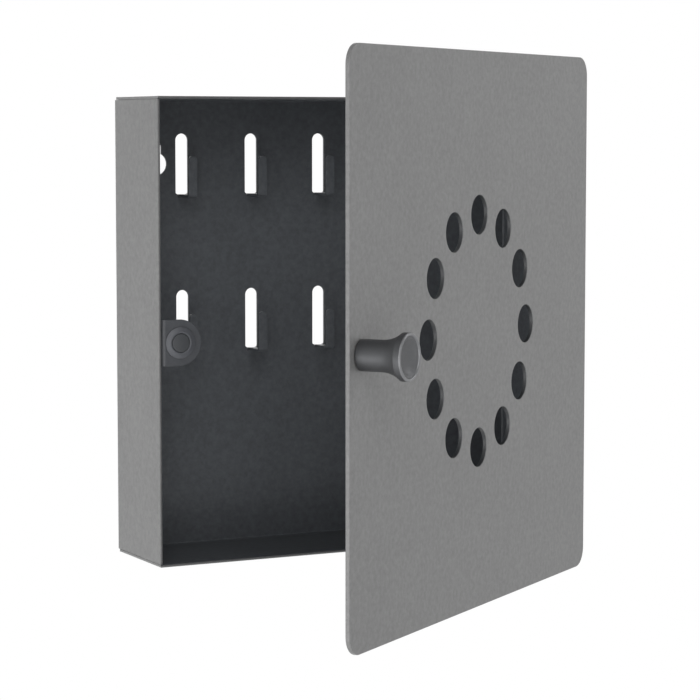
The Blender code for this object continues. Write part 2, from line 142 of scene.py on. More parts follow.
# %% World
WORLD_LIGHT = 0.4
CEILING_TONE = 0.3
CEILING_START = 0.15
WHITE = (1, 1, 1, 1)


def ray_kinds(tree):
    """Two sockets: 1 for a ray of the camera, and 1 for a reflection or a ray through glass."""
    rays = add(tree, "ShaderNodeLightPath")
    mirrored = add(tree, "ShaderNodeMath", [(0, rays.outputs["Is Glossy Ray"]),
                                            (1, rays.outputs["Is Transmission Ray"])],
                   operation="MAXIMUM")
    return rays.outputs["Is Camera Ray"], mirrored.outputs[0]


scene.view_settings.view_transform = "Standard"
world = bpy.data.worlds.new("white_tent")
world.use_nodes = True
scene.world = world
sky = world.node_tree
sky.nodes.clear()
of_camera, mirrored = ray_kinds(sky)
ray_way = add(sky, "ShaderNodeTexCoord")
height = add(sky, "ShaderNodeSeparateXYZ", [(0, ray_way.outputs["Generated"])])
tone = add(sky, "ShaderNodeMapRange", [("Value", height.outputs["Z"])], From_Min=CEILING_START,
           From_Max=1.0, To_Min=1.0, To_Max=CEILING_TONE)
soft = add(sky, "ShaderNodeBackground", [("Color", tone.outputs[0])], Strength=WORLD_LIGHT)
tent = add(sky, "ShaderNodeBackground", [("Color", tone.outputs[0])], Strength=1.0)
white = add(sky, "ShaderNodeBackground", Color=WHITE, Strength=1.0)
lit = add(sky, "ShaderNodeMixShader", [(0, mirrored), (1, soft.outputs[0]), (2, tent.outputs[0])])
seen = add(sky, "ShaderNodeMixShader", [(0, of_camera), (1, lit.outputs[0]), (2, white.outputs[0])])
add(sky, "ShaderNodeOutputWorld", [("Surface", seen.outputs[0])])
print("world gives", WORLD_LIGHT, "of the light that it shows")

# %% [markdown]
# The floor is white paper, well below a cabinet that hangs on a wall, and its shadow falls there. Paper
# under soft light is grey to the camera, and it could be lit harder, but that would light the cabinet
# from below too. So the paper also glows, but only for the camera and for reflections. Far out it
# fades into the world's white, or a line would show where it ends.

# %% Floor
FLOOR_DROP = 900 * MM
FLOOR_SIZE = 40.0
FLOOR_WHITE = "#F4F4F4"
PAPER_ROUGHNESS = 0.9
PAPER_GLOW = 0.62
FADE_START = 0.8
FADE_END = 2.0

floor_paper, tree, shader = start_material("white_floor_paper", FLOOR_WHITE, PAPER_ROUGHNESS)
of_camera, mirrored = ray_kinds(tree)
seen = add(tree, "ShaderNodeMath", [(0, of_camera), (1, mirrored)], operation="MAXIMUM")
share = add(tree, "ShaderNodeMath", [(0, seen.outputs[0])], operation="MULTIPLY")
share.inputs[1].default_value = PAPER_GLOW
glow = add(tree, "ShaderNodeEmission", [("Strength", share.outputs[0])], Color=WHITE)
lifted = add(tree, "ShaderNodeAddShader", [(0, shader.outputs[0]), (1, glow.outputs[0])])
place = add(tree, "ShaderNodeTexCoord")
distance = add(tree, "ShaderNodeVectorMath", [(0, place.outputs["Object"])], operation="LENGTH")
far = add(tree, "ShaderNodeMapRange", [("Value", distance.outputs["Value"])], From_Min=FADE_START,
          From_Max=FADE_END)
far_seen = add(tree, "ShaderNodeMath", [(0, far.outputs[0]), (1, seen.outputs[0])],
               operation="MULTIPLY")
paper_white = add(tree, "ShaderNodeEmission", Color=WHITE, Strength=1.0)
faded = add(tree, "ShaderNodeMixShader", [(0, far_seen.outputs[0]), (1, lifted.outputs[0]),
                                          (2, paper_white.outputs[0])])
tree.links.new(faded.outputs[0], tree.nodes["Material Output"].inputs["Surface"])

bm = bmesh.new()
bmesh.ops.create_grid(bm, x_segments=1, y_segments=1, size=FLOOR_SIZE / 2)
bmesh.ops.translate(bm, vec=(0, 0, -FLOOR_DROP), verts=bm.verts)
mesh = bpy.data.meshes.new("floor")
bm.to_mesh(mesh)
bm.free()
floor = bpy.data.objects.new("floor", mesh)
floor.data.materials.append(floor_paper)
scene.collection.objects.link(floor)
print("floor", round(FLOOR_DROP / MM), "mm below the origin")

# %% [markdown]
# Six soft lamps stand round the cabinet. A low one on the left lights the side wall and draws the
# bright line under it. A small one stands high and near on the right, so the open door is brightest at
# its far top corner. Three fill in from the front, because a box this deep is dark inside, and one from
# behind. Small hard lamps would give crisp shadows of the hooks, and the photograph has none.

# %% Lamps
# Name, place, target and width in millimetres, power in watts
LAMPS = [
    ("left_low", (-1200, -300, -480), (-100, -25, -80), 800, 5.0),
    ("left_front", (-1300, -1500, 100), (0, -50, -80), 900, 3.1),
    ("right_near", (675, -250, 420), (60, -110, 0), 300, 1.0),
    ("front_high", (-450, -1300, 1000), (0, -50, -80), 900, 5.8),
    ("front_low", (-400, -1500, -600), (0, -50, -80), 1200, 6.3),
    ("back_fill", (500, 1600, 500), (0, 0, -80), 1200, 7.0),
]
for name, place, target, width, power in LAMPS:
    lamp = bpy.data.lights.new(name, "AREA")
    lamp.shape = "SQUARE"
    lamp.size = width * MM
    lamp.energy = power
    stand = bpy.data.objects.new(name, lamp)
    stand.location = Vector(place) * MM
    aim = Vector(target) * MM - stand.location
    stand.rotation_euler = aim.to_track_quat("-Z", "Y").to_euler()
    stand.visible_camera = False
    scene.collection.objects.link(stand)
print("lamps:", len(LAMPS), "with", round(sum(lamp[-1] for lamp in LAMPS), 1), "watts together")

# %% [markdown]
# Powder coat is dry paint that is sprayed as dust and baked. It never levels out like wet paint, so it
# keeps a fine grain that breaks up reflections. A noise texture in object space could colour it or tilt
# its surface, and both are needed: the tilt makes the satin glitter, the colour keeps the flat panels
# from looking like plastic. The real grain is about 0.3 mm. It is drawn at about 2.2 mm, which is
# coarser and stronger than the real one, because finer grain doesn't show at the picture's size. A
# second noise makes slow clouds, as where the spray lay a little thicker.

# %% Powder coat
GRAIN = 2.2 * MM
CLOUD = 34 * MM
CLOUD_SWING = 0.03
NOISE_LOW = 0.3
NOISE_HIGH = 0.7
FRONT_SHARE = "front_share"


def powder_coat(name, colour, roughness, grain_depth, grain_swing, edge_colour=None):
    """Powder paint. With an edge colour, it turns to that colour where the mesh's front share falls."""
    material, tree, shader = start_material(name, colour, roughness)
    place = add(tree, "ShaderNodeTexCoord")
    grain = add(tree, "ShaderNodeTexNoise", [("Vector", place.outputs["Object"])], Scale=1 / GRAIN,
                Detail=3.0, Roughness=0.6)
    cloud = add(tree, "ShaderNodeTexNoise", [("Vector", place.outputs["Object"])], Scale=1 / CLOUD,
                Detail=2.0, Roughness=0.5)
    specks = add(tree, "ShaderNodeMapRange", [("Value", grain.outputs["Fac"])], From_Min=NOISE_LOW,
                 From_Max=NOISE_HIGH, To_Min=1 - grain_swing, To_Max=1 + grain_swing)
    clouds = add(tree, "ShaderNodeMapRange", [("Value", cloud.outputs["Fac"])], From_Min=NOISE_LOW,
                 From_Max=NOISE_HIGH, To_Min=1 - CLOUD_SWING, To_Max=1 + CLOUD_SWING)
    tone = add(tree, "ShaderNodeMath", [(0, specks.outputs[0]), (1, clouds.outputs[0])],
               operation="MULTIPLY")
    paint = add(tree, "ShaderNodeVectorMath", [("Scale", tone.outputs[0])], operation="SCALE")
    paint.inputs[0].default_value = hex_colour(colour)[:3]
    if edge_colour is not None:
        reach = add(tree, "ShaderNodeAttribute", attribute_name=FRONT_SHARE)
        coats = add(tree, "ShaderNodeMix", [("Factor", reach.outputs["Fac"])], data_type="RGBA")
        coats.inputs["A"].default_value = hex_colour(edge_colour)
        coats.inputs["B"].default_value = hex_colour(colour)
        tree.links.new(coats.outputs["Result"], paint.inputs[0])
    tree.links.new(paint.outputs[0], shader.inputs["Base Color"])
    bump = add(tree, "ShaderNodeBump", [("Height", grain.outputs["Fac"])], Strength=1.0,
               Distance=grain_depth)
    tree.links.new(bump.outputs["Normal"], shader.inputs["Normal"])
    return material


print("powder grain", round(GRAIN / MM, 1), "mm, clouds", round(CLOUD / MM), "mm")

# %% [markdown]
# The outside and the inside could share one grey, but the inside is drawn darker and bluer, as painted
# shade of the deep box, so it has its own coat, and so have the bracket and the hinges. On the sheet's
# cut edges the grey is drawn darker. That paint mixes two colours by an attribute of the mesh, which
# says how much of the front colour each vertex keeps.

# %% The four coats
OUTSIDE_GREY = "#848484"
INSIDE_SHADED_GREY = "#575A5E"
CATCH_GREY = "#515357"
DARK_EDGE_GREY = "#2A2C2E"
DEEP = 0.05 * MM
FINE = 0.03 * MM
# Outside: a satin middle grey with wide, soft highlights and a slight glitter
OUTSIDE_PAINT = powder_coat("satin_powder_coat_grey", OUTSIDE_GREY, 0.42, DEEP, 0.12)
# Inside: painted shade of the deep box, drawn as a dark, bluish grey, duller and with more marked grain
INSIDE_SHADED_PAINT = powder_coat("satin_powder_coat_painted_inner_shade", INSIDE_SHADED_GREY, 0.5, DEEP, 0.16)
# Cut edges: the outside grey, turning darker where the front share falls
DARK_EDGED_PAINT = powder_coat("powder_coat_darker_at_edges", OUTSIDE_GREY, 0.45, DEEP, 0.12, DARK_EDGE_GREY)
# Bracket and hinges: a dark grey that is smoother than the sheet's
CATCH_PAINT = powder_coat("satin_powder_coat_dark_grey", CATCH_GREY, 0.45, FINE, 0.08)
paints = (OUTSIDE_PAINT, INSIDE_SHADED_PAINT, DARK_EDGED_PAINT, CATCH_PAINT)
print("paints:", ", ".join(paint.name for paint in paints))

# %% [markdown]
# The small parts are metal and plastic. Each starts from the typical numbers of its kind, and one noise
# varies its roughness and tilts its surface, because no real part shines the same all over. An image of
# scratches could do this too, but a noise needs no file and never repeats. Real tool marks and mould
# grain are about 0.1 mm wide. Here they are drawn several times as coarse, so that they show at all.

# %% Metals and plastic
TOOL_MARK = 0.8 * MM
ZINC_CLOUD = 2.5 * MM
PRESS_GRAIN = 0.5 * MM
MOULD_GRAIN = 0.7 * MM


def speckled(name, colour, roughness, metallic, size, depth, roughness_swing):
    """A finish whose roughness and surface vary in specks of one size."""
    material, tree, shader = start_material(name, colour, roughness, metallic)
    place = add(tree, "ShaderNodeTexCoord")
    specks = add(tree, "ShaderNodeTexNoise", [("Vector", place.outputs["Object"])], Scale=1 / size,
                 Detail=4.0, Roughness=0.6)
    rough = add(tree, "ShaderNodeMapRange", [("Value", specks.outputs["Fac"])], From_Min=NOISE_LOW,
                From_Max=NOISE_HIGH, To_Min=roughness - roughness_swing,
                To_Max=roughness + roughness_swing)
    tree.links.new(rough.outputs[0], shader.inputs["Roughness"])
    bump = add(tree, "ShaderNodeBump", [("Height", specks.outputs["Fac"])], Strength=1.0,
               Distance=depth)
    tree.links.new(bump.outputs["Normal"], shader.inputs["Normal"])
    return material


# Turned steel under a dull grey finish: a broad, soft highlight along the knob's stem
KNOB_STEEL = speckled("satin_turned_steel", "#525355", 0.5, 0.6, TOOL_MARK, 0.004 * MM, 0.05)
# The same steel on the knob's dish: a little lighter than the stem, with coarser marks
DISH_STEEL = speckled("satin_steel_lighter_dish", "#636466", 0.5, 0.6, TOOL_MARK, 0.006 * MM, 0.06)
# The rim: a painted highlight, the same steel drawn brighter and smoother along its rounded edge
RIM_HIGHLIGHT_STEEL = speckled("turned_steel_painted_rim_highlight", "#7E7F81", 0.36, 0.7, TOOL_MARK, 0.004 * MM, 0.06)
# Zinc plate: bright, with a slight cloudiness
ZINC = speckled("zinc_plated_steel", "#A5A7AA", 0.3, 1.0, ZINC_CLOUD, 0.004 * MM, 0.08)
# Pressed ferrite: dull and dark, with the press's fine grain
FERRITE = speckled("pressed_ferrite", "#4D4F52", 0.55, 0.2, PRESS_GRAIN, 0.010 * MM, 0.08)
# Moulded polyamide: an even, matt sheen
HOLDER_PLASTIC = speckled("moulded_polyamide", "#5C5E63", 0.5, 0.0, MOULD_GRAIN, 0.006 * MM, 0.05)
print("materials so far:", len(bpy.data.materials))

# %% [markdown]
# Most pieces here are sheet. A sheet piece could be a box with rounded edges, but a bend would then be
# thicker or thinner than the sheet. So it is drawn as a thin skin, bent like the real one, and given
# its thickness at the end. The first helpers draw its outline from straight lines and from arcs, which
# the spin operator sweeps.

# %% Lines and arcs
def only(kind, geom):
    return [item for item in geom if isinstance(item, kind)]


def ends_of(edges):
    """The vertices of some edges, each once and in a fixed order."""
    return list(dict.fromkeys(vert for edge in edges for vert in edge.verts))


def draw(bm, start, points, end=None):
    """Draws edges from a vertex through the points, and on to the vertex end."""
    for point in points:
        vert = bm.verts.new(point)
        bm.edges.new((start, vert))
        start = vert
    if end is not None:
        bm.edges.new((start, end))
    return start


def sweep(bm, vert, centre, axis, angle, steps):
    """Draws an arc of edges from a vertex and returns its last vertex."""
    swept = bmesh.ops.spin(bm, geom=[vert], cent=centre, axis=axis, angle=angle, steps=steps)
    return only(bmesh.types.BMVert, swept["geom_last"])[0]


print("outline helpers:", draw.__name__, "and", sweep.__name__)

# %% [markdown]
# A bend carries the skin on from an edge: the edge is spun round the bend's axis, then pulled straight
# out for the wall. Small turns by hand would do the same, but spin keeps the radius true. Both helpers
# give back the new free edges, because the next fold starts from them.

# %% Folds and walls
def fold(bm, edges, centre, axis, angle, steps):
    """Bends the sheet on from some edges, round an axis, and returns its new edges."""
    swept = bmesh.ops.spin(bm, geom=ends_of(edges) + edges, cent=centre, axis=axis, angle=angle,
                           steps=steps)
    return only(bmesh.types.BMEdge, swept["geom_last"])


def pull(bm, edges, way):
    """Carries the sheet straight on from some edges and returns its new edges."""
    made = bmesh.ops.extrude_edge_only(bm, edges=edges)["geom"]
    verts = only(bmesh.types.BMVert, made)
    bmesh.ops.translate(bm, vec=way, verts=verts)
    return [edge for edge in only(bmesh.types.BMEdge, made)
            if all(vert in verts for vert in edge.verts)]


def edges_at(bm, test):
    """Edges whose two ends both pass a test."""
    return [edge for edge in bm.edges if all(test(vert.co) for vert in edge.verts)]


def round_corners(bm, corners, radius, segments):
    """Rounds corners of a flat sheet."""
    bmesh.ops.bevel(bm, geom=corners, offset=radius, offset_type="OFFSET", segments=segments,
                    profile=0.5, affect="VERTICES", material=-1)


print("sheet helpers:", fold.__name__, "and", pull.__name__)

# %% [markdown]
# A skin gets its thickness from the Solidify modifier, which grows it to one side of its faces, so all
# of them have to look outwards first. The modifier could stay on the piece. It is applied at once,
# because the coats and the soft edges are chosen on the finished sheet.

# %% Thickness
INWARDS = -1


def face_out(bm, way):
    """Makes all faces agree, so that the faces square to a direction look along it."""
    bmesh.ops.recalc_face_normals(bm, faces=bm.faces)
    way = Vector(way)
    square = max(bm.faces, key=lambda face: abs(face.normal.dot(way)) * face.calc_area())
    if square.normal.dot(way) < 0:
        bmesh.ops.reverse_faces(bm, faces=bm.faces)


def thicken(bm, thickness):
    """Gives a skin its thickness, inwards, and returns the closed sheet as a new bmesh."""
    mesh = bpy.data.meshes.new("skin")
    bm.to_mesh(mesh)
    bm.free()
    skin = bpy.data.objects.new("skin", mesh)
    scene.collection.objects.link(skin)
    solid = skin.modifiers.new("sheet", "SOLIDIFY")
    solid.thickness = thickness
    solid.offset = INWARDS
    solid.use_even_offset = True
    closed = bmesh.new()
    closed.from_object(skin, bpy.context.evaluated_depsgraph_get())
    bpy.data.objects.remove(skin)
    bpy.data.meshes.remove(mesh)
    return closed


print("sheets grow inwards, Solidify offset", INWARDS)

# %% [markdown]
# Every piece ends the same way. Real edges are never quite sharp, and the thin line of light along them
# is what the eye looks for. A Bevel modifier softens them by weight, where a bevel in the mesh would
# need a run for each radius. The helper also says which body the piece rides on, which slot it takes
# its finish from and which solid it stands for.

# %% Finish of a piece
SHARP = radians(50)
FLAT_FIRST = 100


def finish(name, bm, body, materials, replaced, soft_edge=None, edge_steps=2, swung=False):
    """Makes the object: softened edges, even shading, its body, slot and solid.

    soft_edge is a radius, or a function that gives an edge its own radius.
    """
    if soft_edge is not None:
        weight = bm.edges.layers.float.new("bevel_weight_edge")
        sharp = [edge for edge in bm.edges if edge.is_manifold and edge.calc_face_angle() > SHARP]
        radii = [soft_edge(edge) if callable(soft_edge) else soft_edge for edge in sharp]
        for edge, radius in zip(sharp, radii):
            edge[weight] = radius / max(radii)
    if swung:
        bmesh.ops.transform(bm, matrix=SWING, verts=bm.verts)
    mesh = bpy.data.meshes.new(name)
    bm.to_mesh(mesh)
    bm.free()
    mesh.shade_smooth()
    for material in materials:
        mesh.materials.append(material)
    piece = bpy.data.objects.new(name, mesh)
    scene.collection.objects.link(piece)
    if soft_edge is not None:
        edge = piece.modifiers.new("soft_edges", "BEVEL")
        edge.width = max(radii)
        edge.segments = edge_steps
        edge.limit_method = "WEIGHT"
        edge.use_clamp_overlap = False
        edge.miter_outer = "MITER_ARC"
    even = piece.modifiers.new("even_shading", "WEIGHTED_NORMAL")
    even.weight = FLAT_FIRST
    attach(piece, body)
    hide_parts(replaced)
    print(name, "drawn with", len(mesh.polygons), "faces")
    return piece


print("edges over", round(SHARP / pi * 180), "degrees count as sharp")

# %% [markdown]
# The back of the cabinet has ten slots, where its hooks were lanced out, and two keyholes that it
# hangs on. Their outlines could be long lists of points, but a few corners and arcs say the same. Each
# slot keeps a short edge at its foot, which its hook grows from. The hook is narrower than the slot, so
# the slot's lower corners are rounded above a neck that is hardly wider than the hook.

# %% Outlines of the slots and keyholes
body_low, body_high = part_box("body_pan")
SLOT_ROWS = 2
SLOT_COLUMNS = 5
SLOT_WIDTH = 6 * MM
SLOT_LENGTH = 29 * MM
HOOK_WIDTH = 4.2 * MM
HOOK_BEND = 2.0 * MM
NECK_GAP = 0.1 * MM
FIRST_SLOT_DROP = 16 * MM
ROW_PITCH = 70 * MM
COLUMN_PITCH = 34 * MM
KEYHOLE_ENTRY = 5 * MM
KEYHOLE_NECK = 2.4 * MM
KEYHOLE_TRAVEL = 7.5 * MM
ROUND_STEPS = 16

slots =[((column - SLOT_COLUMNS // 2) * COLUMN_PITCH, body_high.z - FIRST_SLOT_DROP - row * ROW_PITCH)
         for row in range(SLOT_ROWS) for column in range(SLOT_COLUMNS)]


def slot_outline(bm, column, top):
    """An arch, two straight sides, two rounded shoulders and the neck."""
    turn = (0, -1, 0)
    arch = Vector((column, 0, top - SLOT_WIDTH / 2))
    neck = HOOK_WIDTH / 2 + NECK_GAP
    foot = top - SLOT_LENGTH
    shoulder = Vector((column, 0, foot + HOOK_BEND + SLOT_WIDTH / 2 - neck))
    first = bm.verts.new(arch + Vector((SLOT_WIDTH / 2, 0, 0)))
    last = sweep(bm, first, arch, turn, pi, ROUND_STEPS)
    last = draw(bm, last, [(column - SLOT_WIDTH / 2, 0, shoulder.z)])
    last = sweep(bm, last, shoulder - Vector((neck, 0, 0)), turn, pi / 2, ROUND_STEPS // 4)
    foot_places = (-neck, -HOOK_WIDTH / 2, HOOK_WIDTH / 2, neck)
    last = draw(bm, last, [(column + place, 0, foot) for place in foot_places])
    last = draw(bm, last, [(column + neck, 0, foot + HOOK_BEND)])
    last = sweep(bm, last, shoulder + Vector((neck, 0, 0)), turn, pi / 2, ROUND_STEPS // 4)
    bm.edges.new((last, first))


def keyhole_outline(bm, place):
    """A round entry that a screw's head passes, and above it the neck that rests on the screw."""
    centre = Vector((place, 0, -KEYHOLE_TRAVEL))
    half_mouth = asin(KEYHOLE_NECK / KEYHOLE_ENTRY)
    first = bm.verts.new(centre + Vector((KEYHOLE_NECK, 0, KEYHOLE_ENTRY * cos(half_mouth))))
    last = sweep(bm, first, centre, (0, 1, 0), 2 * (pi - half_mouth), 2 * ROUND_STEPS)
    neck = draw(bm, last, [(place - KEYHOLE_NECK, 0, 0)])
    arch = sweep(bm, neck, (place, 0, 0), (0, 1, 0), pi, ROUND_STEPS)
    bm.edges.new((arch, first))


print("slots:", len(slots), "each", round(SLOT_LENGTH / MM), "mm long")

# %% [markdown]
# The body starts as its flat back panel. Triangle fill closes the space between all the outlines at
# once, where cutting each hole with a Boolean would leave seams.

# %% Back panel
BEND = 2.2 * MM
KEYHOLE_INSET = 19.75 * MM

flat_left = body_low.x + BEND
flat_right = body_high.x - BEND
flat_bottom = body_low.z + BEND
flat_top = body_high.z - BEND

bm = bmesh.new()
corner = bm.verts.new((flat_left, 0, flat_bottom))
draw(bm, corner, [(flat_right, 0, flat_bottom), (flat_right, 0, flat_top), (flat_left, 0, flat_top)],
     corner)
for column, top in slots:
    slot_outline(bm, column, top)
for side in (body_low.x + KEYHOLE_INSET, body_high.x - KEYHOLE_INSET):
    keyhole_outline(bm, side)
bmesh.ops.triangle_fill(bm, use_beauty=True, edges=bm.edges[:], normal=(0, 1, 0))
print("back panel:", len(bm.faces), "triangles round", len(slots), "slots and 2 keyholes")

# %% [markdown]
# Now the pan is folded as a press brake would do it. Each border edge is spun through a quarter turn
# and pulled forward. The top and bottom walls lie over the ends of the side walls, with a hairline seam
# between, and near the back they are cut short where two bends meet, which leaves the small notch that
# shows at the photograph's top left corner.

# %% Walls folded from the back
SHEET = 1.2 * MM
SEAM = 0.08 * MM
CLOSE = SEAM / 2
NOTCH = 3.2 * MM
BEND_STEPS = 10
wall_depth = body_high.y - body_low.y - BEND

for border, spin_axis in ((flat_left, (0, 0, 1)), (flat_right, (0, 0, -1))):
    panel_edge = edges_at(bm, lambda place: abs(place.x - border) < CLOSE)
    free = fold(bm, panel_edge, (border, -BEND, 0), spin_axis, pi / 2, BEND_STEPS)
    pull(bm, free, (0, -wall_depth, 0))
for end, lift in ((flat_top, BEND - SHEET - SEAM), (flat_bottom, SHEET + SEAM - BEND)):
    wall_ends = [edge for edge in edges_at(bm, lambda place: abs(place.z - end) < CLOSE)
                 if edge.is_boundary
                 and max(abs(vert.co.x) for vert in edge.verts) > flat_right + CLOSE]
    pull(bm, wall_ends, (0, 0, lift))
for border, outer, spin_axis in ((flat_top, body_high.z, (1, 0, 0)),
                                 (flat_bottom, body_low.z, (-1, 0, 0))):
    panel_edge = [edge for edge in edges_at(bm, lambda place: abs(place.z - border) < CLOSE)
                  if edge.calc_length() > flat_right]
    free = fold(bm, panel_edge, (0, -BEND, border), spin_axis, pi / 2, BEND_STEPS)
    free = pull(bm, free, (0, BEND - NOTCH, 0))
    pull(bm, free, (0, NOTCH - BEND - wall_depth, 0))
    for side, way in ((flat_left, -BEND), (flat_right, BEND)):
        rim = edges_at(bm, lambda place: abs(place.x - side) < CLOSE and abs(place.z - outer) < CLOSE
                       and place.y < CLOSE - NOTCH)
        pull(bm, rim, (way, 0, 0))
print("pan folded:", len(bm.faces), "faces")

# %% [markdown]
# Each hook is a tongue of the same sheet. It leaves the foot of its slot, bends forward, runs out as a
# short shelf and bends up again. Ten separate hooks could be set on the back, but real ones are part of
# it, and so are these. The two corners of each tip are rounded with a bevel on the vertices.

# %% Hooks lanced out of the back
HOOK_INNER_BEND = 0.8 * MM
HOOK_REACH = 12.7 * MM
HOOK_RISE = 19 * MM
HOOK_TIP_ROUND = 2.0 * MM
HOOK_TIP_STEPS = 8
HOOK_STEPS = 6

for column, top in slots:
    foot = top - SLOT_LENGTH
    shelf = foot + HOOK_BEND
    root = edges_at(bm, lambda place: abs(place.z - foot) < CLOSE
                    and abs(place.x - column) < HOOK_WIDTH / 2 + CLOSE)
    free = fold(bm, root, (column, -HOOK_BEND, foot), (1, 0, 0), pi / 2, HOOK_STEPS)
    turn = HOOK_REACH - HOOK_INNER_BEND
    free = pull(bm, free, (0, HOOK_BEND - turn, 0))
    free = fold(bm, free, (column, -turn, shelf + HOOK_INNER_BEND), (-1, 0, 0), pi / 2, HOOK_STEPS)
    free = pull(bm, free, (0, 0, foot + HOOK_RISE - shelf - HOOK_INNER_BEND))
    round_corners(bm, ends_of(free), HOOK_TIP_ROUND, HOOK_TIP_STEPS)
face_out(bm, (0, 1, 0))
print("hooks bent:", len(slots))

# %% [markdown]
# The pan's edges differ: the front rim is well rounded, punched holes are less so, and the outer
# corners of the top and bottom walls most. The necks under the hooks stay sharp, because they are
# narrower than any softening. Edges could be picked one by one, but a function of their place finds
# them also when a size changes.

# %% How soft each edge of the pan is
RIM_SOFT = 0.42 * MM
SEAM_SOFT = 0.06 * MM
HOLE_SOFT = 0.16 * MM
CORNER_SOFT = 0.5 * MM
BEHIND_SHEET = 1.5 * SHEET
BESIDE_HOOK = 0.4 * MM


def depth_in_pan(place):
    """How far a place lies under the nearest of the pan's outer faces."""
    return min(place.x - body_low.x, body_high.x - place.x, -place.y, place.z - body_low.z,
               body_high.z - place.z)


def in_neck(place):
    """Whether a place is on a hook's first bend or on the cut beside it."""
    return any(abs(place.x - column) < HOOK_WIDTH / 2 + BESIDE_HOOK
               and abs(place.z - top + SLOT_LENGTH - HOOK_BEND / 2) < HOOK_BEND / 2 + NECK_GAP
               and place.y > -HOOK_BEND - NECK_GAP for column, top in slots)


def pan_softness(edge):
    """The radius that an edge of the pan is softened with."""
    middle = (edge.verts[0].co + edge.verts[1].co) / 2
    on_side = min(middle.x - body_low.x, body_high.x - middle.x) < CLOSE
    on_end = min(middle.z - body_low.z, body_high.z - middle.z) < CLOSE
    if middle.y < body_low.y + SEAM:
        return RIM_SOFT
    if on_side and on_end:
        return CORNER_SOFT
    if in_neck(middle):
        return 0
    if depth_in_pan(middle) > BEHIND_SHEET or middle.y > -BEHIND_SHEET:
        return HOLE_SOFT
    return SEAM_SOFT


radii = (CORNER_SOFT, RIM_SOFT, HOLE_SOFT, SEAM_SOFT)
print("edge radii of the pan in mm:", [round(radius / MM, 2) for radius in radii])

# %% [markdown]
# The pan gets its thickness and its coats: grey outside, the darker inside grey with its painted shade
# inside, and on the sheet's front edge the grey drawn darker. How deep a place lies under the pan's
# outer faces tells them apart, which is simpler than selecting faces by hand.

# %% Thickness and coats of the pan
RIM_SHARE = 0.45
INSIDE_DEPTH = 0.9 * SHEET
ACROSS = 0.3

bm = thicken(bm, SHEET)
front_share = bm.verts.layers.float.new(FRONT_SHARE)
for vert in bm.verts:
    vert[front_share] = RIM_SHARE
for face in bm.faces:
    middle = face.calc_center_median()
    cut_through = middle.y > -SHEET and abs(face.normal.y) < ACROSS
    if depth_in_pan(middle) > INSIDE_DEPTH or cut_through:
        face.material_index = 1
    elif middle.y < body_low.y + SEAM:
        face.material_index = 2
# Coat 1 is the inside's darker grey, painted shade of the deep box
COATS = [OUTSIDE_PAINT, INSIDE_SHADED_PAINT, DARK_EDGED_PAINT]
finish("folded_body", bm, "cabinet", COATS, "body_pan", soft_edge=pan_softness)

# %% [markdown]
# The door is a flat plate with rounded corners, twelve round windows and a hole for the knob's screw.
# Its outline comes from one quad whose corners are bevelled, the windows from circles, and the same
# fill makes the plate. A narrow inset round every edge gives the flat face a clean border, so that the
# rounded rims don't pull at its shading.

# %% Door plate
DOOR_SIDE = 20 * MM
DOOR_END = 18 * MM
DOOR_RISE = 1 * MM
DOOR_SHEET = 2 * MM
DOOR_CORNER = 8.5 * MM
DOOR_CORNER_STEPS = 12
DOOR_GAP = 0.8 * MM
WINDOW_COUNT = 12
WINDOW = 16.8 / 2 * MM
WINDOW_STEPS = 48
WINDOW_RING = 99.5 / 2 * MM
KNOB_INSET = 9.5 * MM
KNOB_DROP = 1.2 * MM
SCREW_HOLE = 2.3 * MM
SCREW_HOLE_STEPS = 24
BORDER = 1.1 * MM
UPRIGHT = Matrix.Rotation(pi / 2, 4, "X")

door_front = body_low.y - DOOR_GAP - DOOR_SHEET
door_back = body_low.y - DOOR_GAP
door_low = Vector((body_low.x - DOOR_SIDE, door_front, body_low.z - DOOR_END + DOOR_RISE))
door_high = Vector((body_high.x + DOOR_SIDE, door_back, body_high.z + DOOR_END + DOOR_RISE))
door_size = door_high - door_low
door_z = (door_low.z + door_high.z) / 2
knob_x = door_low.x + KNOB_INSET
knob_z = door_z - KNOB_DROP

bm = bmesh.new()
bmesh.ops.create_grid(bm, x_segments=1, y_segments=1, size=0.5, matrix=UPRIGHT)
bmesh.ops.scale(bm, vec=(door_size.x, 1, door_size.z), verts=bm.verts)
round_corners(bm, bm.verts[:], DOOR_CORNER, DOOR_CORNER_STEPS)
bmesh.ops.delete(bm, geom=bm.faces[:], context="FACES_ONLY")
for index in range(WINDOW_COUNT):
    angle = 2 * pi * index / WINDOW_COUNT
    centre = Matrix.Translation((WINDOW_RING * sin(angle), 0, WINDOW_RING * cos(angle)))
    bmesh.ops.create_circle(bm, cap_ends=False, radius=WINDOW, segments=WINDOW_STEPS,
                            matrix=centre @ UPRIGHT)
screw_place = Matrix.Translation((knob_x, 0, knob_z - door_z))
bmesh.ops.create_circle(bm, cap_ends=False, radius=SCREW_HOLE, segments=SCREW_HOLE_STEPS,
                        matrix=screw_place @ UPRIGHT)
bmesh.ops.triangle_fill(bm, use_beauty=True, edges=bm.edges[:], normal=(0, -1, 0))
bmesh.ops.inset_region(bm, faces=bm.faces[:], thickness=BORDER, use_boundary=True, use_even_offset=True)
bmesh.ops.translate(bm, vec=(0, door_front, door_z), verts=bm.verts)
face_out(bm, (0, -1, 0))
bm = thicken(bm, DOOR_SHEET)
print("door plate in mm:", [round(value / MM, 1) for value in door_size])

# %% [markdown]
# The windows' walls are drawn dark, and the grey of the face reaches just over their rounded edge.
# Each vertex keeps its share of the front colour, full on the face and none one edge radius behind it,
# and the shader mixes the colours by it. A second material with a hard border would be simpler, but
# this one fades. The door's back has the inside's darker grey, with its painted shade.

# %% Edges and coats of the door
DOOR_SOFT = 0.4 * MM
DOOR_SOFT_STEPS = 3
TO_THE_BACK = 0.3
TO_THE_FRONT = -0.5

